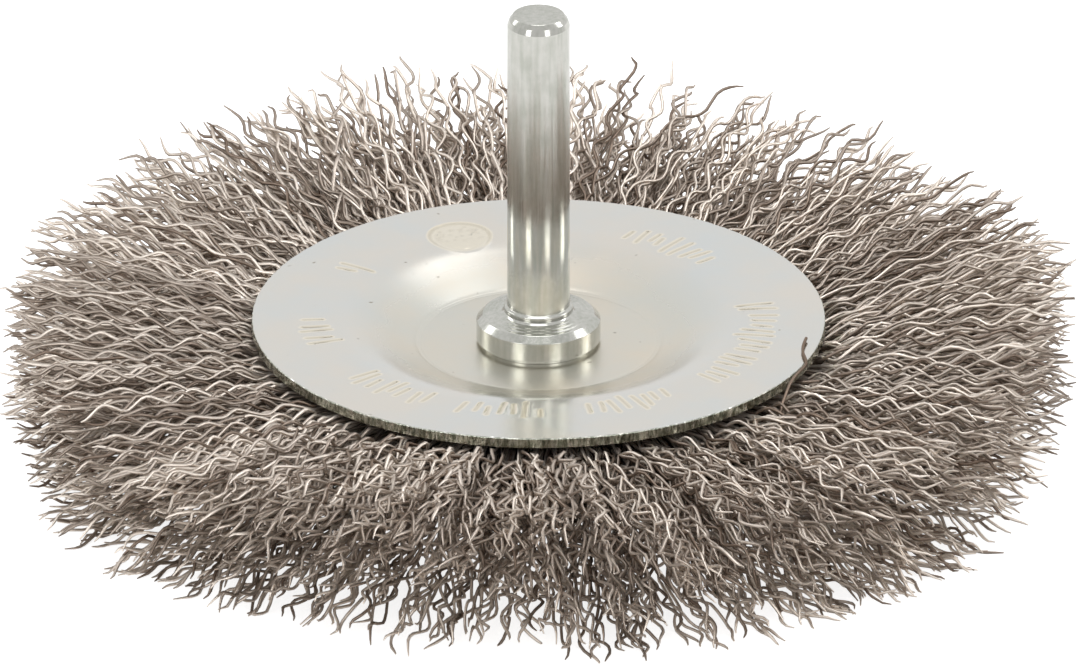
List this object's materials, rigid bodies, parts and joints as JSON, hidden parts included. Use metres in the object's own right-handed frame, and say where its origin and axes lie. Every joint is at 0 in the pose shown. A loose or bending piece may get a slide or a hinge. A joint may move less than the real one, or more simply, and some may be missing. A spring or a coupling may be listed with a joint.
{
  "type": "wire wheel brush",
  "caption": "Flat wheel of crimped steel wires clamped between two dished plates, on a plain round shank for a drill chuck.",
  "frame": {"origin": "on the wheel's axis, at the level of the lowest wire tips that it lies on", "axes": "+Z along the axis, from the wheel towards the shank's free end; X and Y across the wheel"},
  "size_m": [0.1018, 0.1018, 0.0441],
  "materials": {
    "shank_zinc": "turned steel, bright zinc plated",
    "plate_zinc": "pressed sheet steel, bright zinc plated",
    "inner_steel": "plain steel",
    "crimped_wire": "drawn steel wire, crimped"
  },
  "bodies": {
    "root": {"drill_shank": "shank_zinc", "upper_plate": "plate_zinc", "lower_plate": "plate_zinc", "spacer_washer": "inner_steel", "core_ring": "inner_steel", "wire_bundle_01": "crimped_wire", "wire_bundle_02": "crimped_wire", "wire_bundle_03": "crimped_wire", "wire_bundle_04": "crimped_wire", "wire_bundle_05": "crimped_wire", "wire_bundle_06": "crimped_wire", "wire_bundle_07": "crimped_wire", "wire_bundle_08": "crimped_wire", "wire_bundle_09": "crimped_wire", "wire_bundle_10": "crimped_wire", "wire_bundle_11": "crimped_wire", "wire_bundle_12": "crimped_wire"}
  },
  "joints": []
}
